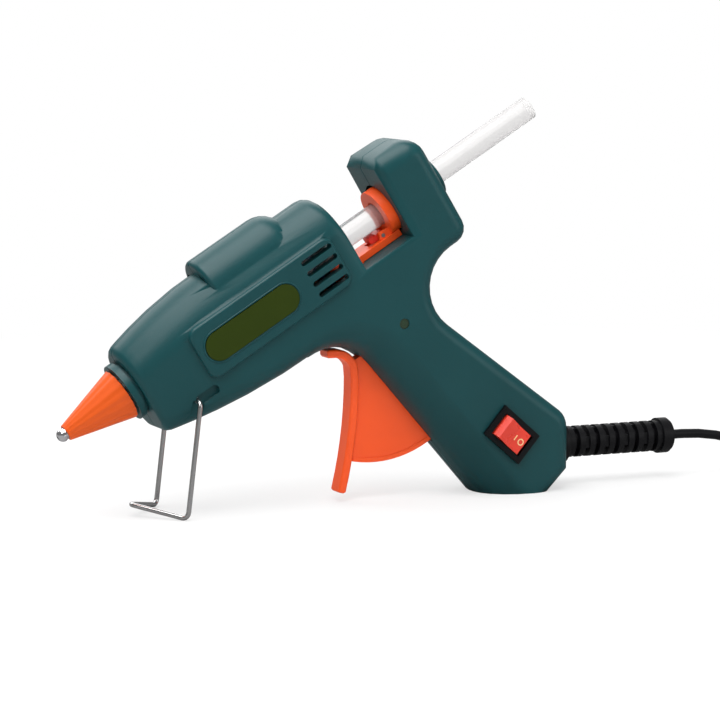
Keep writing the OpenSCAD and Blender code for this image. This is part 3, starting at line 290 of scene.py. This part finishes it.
# %% [markdown]
# The shells are a dark blue-green plastic, and the feed, the trigger and the nozzle's cover are orange. The
# badge is olive, the rocker and the jaw are red, and the switch's frame and the cord are black. Each is
# dyed through, so its two tones lie close together. A weak specular keeps the dark ones from looking grey,
# and the rocker and the small lamp's lens are glossier than the rest.

# %% Plastics
teal_shell = finish(
    "teal_shell", (0.004, 0.056, 0.062), (0.003, 0.047, 0.052), 0.38, grain=2600, depth=0.03,
    Specular_IOR_Level=0.3)
orange_cone = finish(
    "orange_cone", (0.66, 0.084, 0.003), (0.58, 0.070, 0.002), 0.40, depth=0.015, Specular_IOR_Level=0.28)
orange_shell = finish(
    "orange_shell", (0.92, 0.096, 0.013), (0.84, 0.080, 0.009), 0.36, depth=0.015, Specular_IOR_Level=0.35)
olive_inlay = finish(
    "olive_inlay", (0.026, 0.044, 0.0006), (0.019, 0.034, 0.0005), 0.45, depth=0.02, Specular_IOR_Level=0.15)
black_plastic = finish(
    "black_plastic", (0.004, 0.004, 0.005), (0.002, 0.002, 0.003), 0.40, depth=0.02, Specular_IOR_Level=0.2)
black_cord = finish(
    "black_cord", (0.004, 0.004, 0.005), (0.002, 0.002, 0.003), 0.45, marks=0.15, depth=0.03,
    Specular_IOR_Level=0.2)
red_rocker_skin = finish(
    "red_rocker_skin", (0.76, 0.050, 0.026), (0.66, 0.038, 0.020), 0.28, depth=0.005, Specular_IOR_Level=0.4)
red_jaw_skin = finish(
    "red_jaw_skin", (0.72, 0.03, 0.012), (0.55, 0.02, 0.010), 0.35, depth=0.01,
    Subsurface_Weight=0.15, Subsurface_Scale=0.001)
green_lens = finish(
    "green_lens", (0.012, 0.035, 0.012), (0.008, 0.025, 0.008), 0.18, depth=0.002, Coat_Weight=0.5)
# painted shade: the sleeve's silicone is painted darker than its own colour, so the housing's inside looks
# shaded through the vents
silicone_with_painted_shade = finish("silicone_with_painted_shade", (0.07, 0.024, 0.018), (0.05, 0.018, 0.014), 0.55)
brown_wire = finish("brown_wire", (0.12, 0.05, 0.025), (0.09, 0.04, 0.02), 0.45)
blue_wire = finish("blue_wire", (0.02, 0.07, 0.28), (0.015, 0.05, 0.22), 0.45)
print("finishes of plastic and rubber:", len(bpy.data.materials))

# %% [markdown]
# The rocker carries two generic marks, a ring for off and a bar for on. They are printed, so they live in
# its material: the distance from a place on the rocker gives the ring, and the distances along and across
# the rocker give the bar. Both read the place with its depth flattened, so that they keep their shape on
# the sloping faces.

# %% Marks on the rocker
ROCKER_TURN = math.radians(-41)
RING_PLACE = 0.0036
RING_RADIUS = 0.0009
BAR_PLACE = 0.0013
BAR_HALF = 0.0009
LINE_HALF = 0.00016
MARK_INK = (0.85, 0.62, 0.30)


def add_vector_math(tree, operation, first, second):
    """One vector math node. An input is a socket or a vector."""
    node = tree.nodes.new("ShaderNodeVectorMath")
    node.operation = operation
    for socket, value in zip(node.inputs, (first, second)):
        if isinstance(value, bpy.types.NodeSocket):
            tree.links.new(value, socket)
        else:
            socket.default_value = value
    return node


def print_marks(material, middle, along, across, ink):
    """Mixes the ink over the material's colour where the ring and the bar lie."""
    tree = material.node_tree
    shader = tree.nodes["Principled BSDF"]
    place = tree.nodes.new("ShaderNodeTexCoord").outputs["Object"]
    from_middle = add_vector_math(tree, "SUBTRACT", place, middle)
    flat = add_vector_math(tree, "MULTIPLY", from_middle.outputs["Vector"], (1, 0, 1)).outputs["Vector"]

    from_ring = add_vector_math(tree, "DISTANCE", flat, along * RING_PLACE).outputs["Value"]
    off_line = add_math(tree, "ABSOLUTE", add_math(tree, "SUBTRACT", from_ring, RING_RADIUS), 0)
    ring = add_math(tree, "LESS_THAN", off_line, LINE_HALF)

    from_bar = add_vector_math(tree, "SUBTRACT", flat, along * BAR_PLACE).outputs["Vector"]
    reach_along = add_vector_math(tree, "DOT_PRODUCT", from_bar, along).outputs["Value"]
    reach_across = add_vector_math(tree, "DOT_PRODUCT", from_bar, across).outputs["Value"]
    thin = add_math(tree, "LESS_THAN", add_math(tree, "ABSOLUTE", reach_along, 0), LINE_HALF)
    short = add_math(tree, "LESS_THAN", add_math(tree, "ABSOLUTE", reach_across, 0), BAR_HALF)
    marks = add_math(tree, "MAXIMUM", ring, add_math(tree, "MULTIPLY", thin, short))

    printed = tree.nodes.new("ShaderNodeMix")
    printed.data_type = "RGBA"
    below = shader.inputs["Base Color"].links[0].from_socket
    tree.links.new(marks, printed.inputs["Factor"])
    tree.links.new(below, printed.inputs["A"])
    printed.inputs["B"].default_value = (*ink, 1)
    tree.links.new(printed.outputs["Result"], shader.inputs["Base Color"])


rocker_low, rocker_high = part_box("switch_rocker")
rocker_along = Vector((math.cos(ROCKER_TURN), 0, math.sin(ROCKER_TURN)))
rocker_across = Vector((-math.sin(ROCKER_TURN), 0, math.cos(ROCKER_TURN)))
print_marks(red_rocker_skin, (rocker_low + rocker_high) / 2, rocker_along, rocker_across, MARK_INK)
print("marks printed on", red_rocker_skin.name)

# %% [markdown]
# The metals are the nozzle's polish, bright drawn wire, duller screws, a cast chamber and brass contacts.
# They share the plastics' grain and marks, with the shader's Metallic at full. The heater's tablet is a dull
# ceramic, which has no metal in it and is rougher than all the others.

# %% Metals and ceramic
polished_metal = finish(
    "polished_metal", (0.80, 0.80, 0.82), (0.70, 0.70, 0.72), 0.12, marks=0.1, depth=0.004, Metallic=1.0)
bright_wire = finish(
    "bright_wire", (0.66, 0.66, 0.67), (0.50, 0.49, 0.48), 0.2, marks=0.12, depth=0.006, Metallic=1.0)
screw_steel = finish("screw_steel", (0.40, 0.41, 0.43), (0.30, 0.31, 0.33), 0.3, depth=0.01, Metallic=1.0)
cast_aluminium = finish(
    "cast_aluminium", (0.60, 0.61, 0.62), (0.50, 0.51, 0.52), 0.45, grain=900, depth=0.08, Metallic=1.0)
plain_brass = finish("plain_brass", (0.78, 0.56, 0.24), (0.66, 0.46, 0.19), 0.28, depth=0.01, Metallic=1.0)
heater_ceramic = finish(
    "heater_ceramic", (0.16, 0.14, 0.12), (0.11, 0.10, 0.09), 0.7, grain=1500, depth=0.05)
print("finishes with the metals:", len(bpy.data.materials))

# %% [markdown]
# The stick is clear hot-melt glue, and most of the light passes through it. A clear rod shows mainly by its
# darker outline, where its surface bends the view away to darker surroundings. Here all the surroundings are
# white, so a painted shade is mixed into its colour where the surface turns away from the eye: a painted
# dark outline in place of those darker surroundings. Layer Weight gives that, and it stays in the material
# itself, because an export can't read it inside a group.

# %% Glue
# painted shade: the darker tone painted on the glue's outline, and how far in from the edge it reaches
PAINTED_RIM_SHADE = (0.58, 0.56, 0.56)
PAINTED_RIM_SHADE_BLEND = 0.35

clear_glue = finish(
    "clear_glue", (0.975, 0.965, 0.962), (0.95, 0.94, 0.935), 0.25, marks=0.08, grain=350, depth=0.004,
    Transmission_Weight=0.88, IOR=1.3, Specular_IOR_Level=0.2)


def paint_rim_shade(material, tone, blend):
    """Mixes in the tone, a painted shade, where the surface turns away from the eye. A greater blend reaches
    further.
    """
    tree = material.node_tree
    shader = tree.nodes["Principled BSDF"]
    turned = tree.nodes.new("ShaderNodeLayerWeight")
    turned.inputs["Blend"].default_value = blend
    rim_shade_mix = tree.nodes.new("ShaderNodeMix")
    rim_shade_mix.data_type = "RGBA"
    below = shader.inputs["Base Color"].links[0].from_socket
    tree.links.new(turned.outputs["Facing"], rim_shade_mix.inputs["Factor"])
    tree.links.new(below, rim_shade_mix.inputs["A"])
    rim_shade_mix.inputs["B"].default_value = (*tone, 1)
    tree.links.new(rim_shade_mix.outputs["Result"], shader.inputs["Base Color"])


paint_rim_shade(clear_glue, PAINTED_RIM_SHADE, PAINTED_RIM_SHADE_BLEND)
print("glue finish:", clear_glue.name)

# %% [markdown]
# A construction node comes as loose triangles with flat faces. Where its shape is right, only its material
# is changed. Where light should run smoothly over it, a copy is dressed: the triangles are joined, the ones
# that lie in one plane are dissolved, and what isn't sharp is shaded smooth. A radius on the sharp edges and
# a chamfer along the line where two halves meet can be asked for. The copy then stands for the node.

# %% Dressing a node
JOIN_WITHIN = 0.000005
FLAT_WITHIN = math.radians(0.4)
ON_PLANE = 0.00002
SEAM_ANGLE = math.radians(40)
EDGE_ANGLE = math.radians(50)


def weigh_seam(piece):
    """Marks the sharp edges that lie in the tool's middle plane, where its halves meet, for a bevel."""
    mesh = bmesh.new()
    mesh.from_mesh(piece.data)
    weight = mesh.edges.layers.float.new("bevel_weight_edge")
    for rim in mesh.edges:
        in_plane = all(abs(corner.co.y) < ON_PLANE for corner in rim.verts)
        if in_plane and rim.is_manifold and rim.calc_face_angle() > SEAM_ANGLE:
            rim[weight] = 1
    mesh.to_mesh(piece.data)
    mesh.free()


def dress(node, name, body, skin, smooth=40, edge=0.0, seam=0.0):
    """A joined and smoothed copy of a construction node. edge is the radius of its sharp edges and seam
    the width of the chamfer where two halves meet, both in metres."""
    bpy.ops.object.select_all(action="DESELECT")
    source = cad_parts[node]
    piece = bpy.data.objects.new(name, source.data.copy())
    bpy.context.scene.collection.objects.link(piece)
    piece.select_set(True)
    bpy.context.view_layer.objects.active = piece
    bpy.ops.object.mode_set(mode="EDIT")
    bpy.ops.mesh.select_all(action="SELECT")
    bpy.ops.mesh.remove_doubles(threshold=JOIN_WITHIN)
    bpy.ops.mesh.dissolve_limited(angle_limit=FLAT_WITHIN)
    bpy.ops.object.mode_set(mode="OBJECT")
    if edge:
        rounding = piece.modifiers.new("edges", "BEVEL")
        rounding.width = edge
        rounding.segments = 2
        rounding.limit_method = "ANGLE"
        rounding.angle_limit = EDGE_ANGLE
        bpy.ops.object.modifier_apply(modifier=rounding.name)
    if seam:
        weigh_seam(piece)
        groove = piece.modifiers.new("seam", "BEVEL")
        groove.width = seam
        groove.segments = 1
        groove.limit_method = "WEIGHT"
        groove.use_clamp_overlap = False
        bpy.ops.object.modifier_apply(modifier=groove.name)
    bpy.ops.object.shade_smooth_by_angle(angle=math.radians(smooth))
    normals = piece.modifiers.new("normals", "WEIGHTED_NORMAL")
    normals.keep_sharp = True
    bpy.ops.object.modifier_apply(modifier=normals.name)
    piece.data.materials.clear()
    piece.data.materials.append(skin)
    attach(piece, body)
    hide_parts(node)
    return piece


def paint(node, skin):
    """Gives a construction node's object a new material."""
    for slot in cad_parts[node].material_slots:
        slot.material = skin


# %% [markdown]
# The housing is two moulded halves that are screwed together, and on the real tool a fine line shows where
# they meet. A drawn line would look painted, so the rim of each half gets a narrow chamfer, and the two
# chamfers make a groove that catches light and shade.

# %% Housing
SEAM = 0.00022

left_half = dress("left_shell", "left_half", "housing", teal_shell, seam=SEAM)
right_half = dress("right_shell", "right_half", "housing", teal_shell, seam=SEAM)
print("housing faces:", len(left_half.data.polygons), len(right_half.data.polygons))

# %% [markdown]
# Where the strain relief enters the handle it has a short collar, wider than its ribs. It is a cylinder
# with a bevelled rim, laid along the relief's axis against the handle's back.

# %% Collar of the strain relief
HANDLE_BACK = 0.0174
COLLAR_RADIUS = 0.0066
COLLAR_LENGTH = 0.0032
COLLAR_EDGE = 0.0004
COLLAR_SIDES = 64

relief_low, relief_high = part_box("strain_relief")
bpy.ops.object.select_all(action="DESELECT")
bpy.ops.mesh.primitive_cylinder_add(
    vertices=COLLAR_SIDES, radius=COLLAR_RADIUS, depth=COLLAR_LENGTH, rotation=(0, math.pi / 2, 0),
    location=(HANDLE_BACK + COLLAR_LENGTH / 2, 0, (relief_low.z + relief_high.z) / 2))
collar = bpy.context.object
collar.name = "relief_collar"
bpy.ops.object.transform_apply(location=True, rotation=True, scale=False)
rim = collar.modifiers.new("rim", "BEVEL")
rim.width = COLLAR_EDGE
rim.segments = 3
bpy.ops.object.modifier_apply(modifier=rim.name)
bpy.ops.object.shade_smooth_by_angle(angle=math.radians(40))
collar.data.materials.append(black_cord)
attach(collar, "housing")
print("collar from", HANDLE_BACK, "to", round(HANDLE_BACK + COLLAR_LENGTH, 4), "m")

# %% [markdown]
# The badge lies in a shallow recess with a fine raised lip. The lip starts as a circle, and in edit mode its
# two halves are drawn apart to the badge's length. The outline is turned to the barrel's slope, made into a
# curve with a round section, and turned back into a mesh. Its length and height come from the badge's own
# box, and its middle lies a little behind the badge's face, so that the lip stands just over the panel.

# %% Lip round the badge
BARREL_SLOPE = math.radians(31.5)
LIP_GAP = 0.00045
LIP_RADIUS = 0.0003
LIP_SINK = 0.00035
LIP_SIDES = 64
OFF_MIDDLE = 0.00001


def make_badge_lip():
    """A thin round ring drawn out to an oval that follows the badge's outline, as one mesh."""
    low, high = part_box("side_badge")
    wide, tall = high.x - low.x, high.z - low.z
    straight = (wide - tall) / (math.cos(BARREL_SLOPE) - math.sin(BARREL_SLOPE))
    height = wide - straight * math.cos(BARREL_SLOPE)
    bpy.ops.object.select_all(action="DESELECT")
    bpy.ops.mesh.primitive_circle_add(
        vertices=LIP_SIDES, radius=height / 2 + LIP_GAP, rotation=(math.pi / 2, 0, 0))
    lip = bpy.context.object
    lip.name = "badge_lip"
    bpy.ops.object.transform_apply(location=False, rotation=True, scale=False)
    for half in (-1, 1):
        bpy.ops.object.mode_set(mode="EDIT")
        bpy.ops.mesh.select_mode(type="VERT")
        bpy.ops.mesh.select_all(action="DESELECT")
        bpy.ops.object.mode_set(mode="OBJECT")
        for vertex in lip.data.vertices:
            vertex.select = vertex.co.x * half > OFF_MIDDLE
        bpy.ops.object.mode_set(mode="EDIT")
        bpy.ops.transform.translate(value=(half * straight / 2, 0, 0))
        bpy.ops.object.mode_set(mode="OBJECT")
    lip.rotation_euler = (0, -BARREL_SLOPE, 0)
    lip.location = ((low.x + high.x) / 2, low.y + LIP_SINK, (low.z + high.z) / 2)
    bpy.ops.object.transform_apply(location=True, rotation=True, scale=False)
    bpy.ops.object.convert(target="CURVE")
    lip.data.bevel_depth = LIP_RADIUS
    lip.data.bevel_resolution = 3
    bpy.ops.object.convert(target="MESH")
    bpy.ops.object.shade_smooth()
    lip.data.materials.append(teal_shell)
    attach(lip, "housing")
    return lip


badge_lip = make_badge_lip()
print("badge lip faces:", len(badge_lip.data.polygons))

# %% [markdown]
# The other pieces come from the construction. The nozzle cover, the trigger, the carriage and the wire stand
# are dressed, so that light runs smoothly over them, and the carriage's sharp edges are rounded. The rest
# keep their mesh and only get a finish.

# %% Everything else, node by node
CARRIAGE_EDGE = 0.0002

dress("nozzle_cover", "cone_cover", "housing", orange_cone, smooth=50)
dress("trigger", "finger_trigger", "trigger", orange_shell)
dress("feed_carriage", "feed_slide", "carriage", orange_shell, smooth=30, edge=CARRIAGE_EDGE)
dress("wire_stand", "wire_legs", "stand", bright_wire, smooth=50)
for node, skin in {
    "side_badge": olive_inlay, "case_screws": screw_steel, "nozzle": polished_metal,
    "melt_chamber": cast_aluminium, "inlet_sleeve": silicone_with_painted_shade, "sleeve_clip": bright_wire,
    "heater_tablet": heater_ceramic, "heater_electrodes": screw_steel, "heater_wedge": cast_aluminium,
    "glue_stick": clear_glue, "grip_jaw": red_jaw_skin, "jaw_pin": screw_steel,
    "trigger_pin": screw_steel, "drive_pin": screw_steel, "return_spring": bright_wire,
    "switch_body": black_plastic, "switch_rocker": red_rocker_skin, "switch_terminals": plain_brass,
    "indicator_lamp": green_lens, "switch_lead": brown_wire, "heater_lead": brown_wire,
    "neutral_lead": blue_wire, "strain_relief": black_cord, "cord_sheath": black_cord,
    "cord_clamp": teal_shell, "clamp_screws": screw_steel, "cord_tie": black_cord, "plug": black_cord,
    "plug_blades": plain_brass,
}.items():
    paint(node, skin)
power_lead.data.materials.append(black_cord)

# %% [markdown]
# The tool stands on a plain pale floor. The floor's own paint takes the tool's soft shadow, and a white glow
# is mixed over it for rays from the camera and rays that pass through clear glue: part of it near the tool,
# where the shadow lies, and all of it further out, where the floor has to meet the white world without a
# line. In mirrored rays the glow has no strength and only shades the floor, which keeps the plastic's
# colour deep.

# %% Floor
FLOOR_SIZE = 6
FLOOR_TONE = (0.72, 0.72, 0.72, 1)
FLOOR_ROUGHNESS = 0.9
FADE_START = 0.15
FADE_END = 0.45
GLOW_NEAR = 0.6
GLOW_FAR = 1.0
MIRRORED_SHADE = 0.65


def make_floor_paint():
    """Pale paint under a glow that grows with the distance from the tool and that straight rays see."""
    paint = bpy.data.materials.new("studio_white")
    paint.use_nodes = True
    tree = paint.node_tree
    shader = tree.nodes["Principled BSDF"]
    shader.inputs["Base Color"].default_value = FLOOR_TONE
    shader.inputs["Roughness"].default_value = FLOOR_ROUGHNESS
    shader.inputs["Specular IOR Level"].default_value = 0
    rays = tree.nodes.new("ShaderNodeLightPath").outputs

    place = tree.nodes.new("ShaderNodeTexCoord").outputs["Object"]
    reach = tree.nodes.new("ShaderNodeVectorMath")
    reach.operation = "LENGTH"
    tree.links.new(place, reach.inputs[0])
    fade = tree.nodes.new("ShaderNodeMapRange")
    fade.inputs["From Min"].default_value = FADE_START
    fade.inputs["From Max"].default_value = FADE_END
    fade.inputs["To Min"].default_value = GLOW_NEAR
    fade.inputs["To Max"].default_value = GLOW_FAR
    tree.links.new(reach.outputs["Value"], fade.inputs["Value"])

    straight = add_math(tree, "MAXIMUM", rays["Is Camera Ray"], rays["Is Transmission Ray"])
    seen = add_math(tree, "MULTIPLY", straight, fade.outputs[0])
    mirrored = add_math(tree, "MULTIPLY", rays["Is Glossy Ray"], MIRRORED_SHADE)
    share = add_math(tree, "MAXIMUM", seen, mirrored)

    glow = tree.nodes.new("ShaderNodeEmission")
    tree.links.new(straight, glow.inputs["Strength"])
    mix = tree.nodes.new("ShaderNodeMixShader")
    tree.links.new(share, mix.inputs["Fac"])
    tree.links.new(shader.outputs[0], mix.inputs[1])
    tree.links.new(glow.outputs[0], mix.inputs[2])
    tree.links.new(mix.outputs[0], tree.nodes["Material Output"].inputs["Surface"])
    return paint


bpy.ops.object.select_all(action="DESELECT")
bpy.ops.mesh.primitive_plane_add(size=FLOOR_SIZE, location=(0, 0, 0))
floor = bpy.context.object
floor.name = "studio_floor"
floor.data.materials.append(make_floor_paint())
print("floor", FLOOR_SIZE, "m across")

# %% [markdown]
# Four soft boxes light the tool. The largest stands behind it and the next one hangs above it, so that their
# light runs along the rounded tops of the barrel and the head. A smaller and weaker key from the upper left
# and a fill from the right open up the sides. The boxes are hidden from the camera and from rays that pass
# through the clear glue.

# %% Lamps
TOOL_MIDDLE = (-0.04, 0, 0.06)
TOOL_LOWER_MIDDLE = (-0.04, 0, 0.05)


def add_softbox(name, place, aim, size, watts):
    """A rectangular area lamp that faces the aim. size is its width and height in metres."""
    lamp = bpy.data.objects.new(name, bpy.data.lights.new(name, "AREA"))
    lamp.data.shape = "RECTANGLE"
    lamp.data.size, lamp.data.size_y = size
    lamp.data.energy = watts
    lamp.location = place
    lamp.rotation_euler = (Vector(aim) - Vector(place)).to_track_quat("-Z", "Y").to_euler()
    lamp.visible_camera = False
    lamp.visible_transmission = False
    bpy.context.scene.collection.objects.link(lamp)


add_softbox("key_softbox", (-0.5, -0.6, 0.75), TOOL_LOWER_MIDDLE, (0.5, 0.5), 2.4)
add_softbox("fill_softbox", (0.7, -0.7, 0.35), TOOL_LOWER_MIDDLE, (0.6, 0.6), 1.7)
add_softbox("back_softbox", (-0.1, 1.0, 0.9), TOOL_MIDDLE, (1.8, 1.0), 12)
add_softbox("top_softbox", (-0.25, -0.15, 0.95), TOOL_MIDDLE, (0.9, 0.7), 11)

# %% [markdown]
# The world is white to the camera and through clear glue. It lights the tool at a lower strength, which is
# weaker still in mirrored rays.

# %% World
WORLD_LIGHT = 0.4
MIRRORED_WORLD = 0.2

world = bpy.data.worlds.new("studio_world")
bpy.context.scene.world = world
world.use_nodes = True
world_tree = world.node_tree
sky = world_tree.nodes["Background"]
sky.inputs["Color"].default_value = (1, 1, 1, 1)
rays = world_tree.nodes.new("ShaderNodeLightPath").outputs
shown = add_math(world_tree, "MAXIMUM", rays["Is Camera Ray"], rays["Is Transmission Ray"])
added = add_math(world_tree, "MULTIPLY", shown, 1 - WORLD_LIGHT)
hidden = add_math(world_tree, "MULTIPLY", rays["Is Glossy Ray"], MIRRORED_WORLD - WORLD_LIGHT)
change = add_math(world_tree, "ADD", added, hidden)
strength = add_math(world_tree, "ADD", WORLD_LIGHT, change)
world_tree.links.new(strength, sky.inputs["Strength"])
bpy.context.scene.view_settings.view_transform = "Standard"
print("world strength", WORLD_LIGHT)
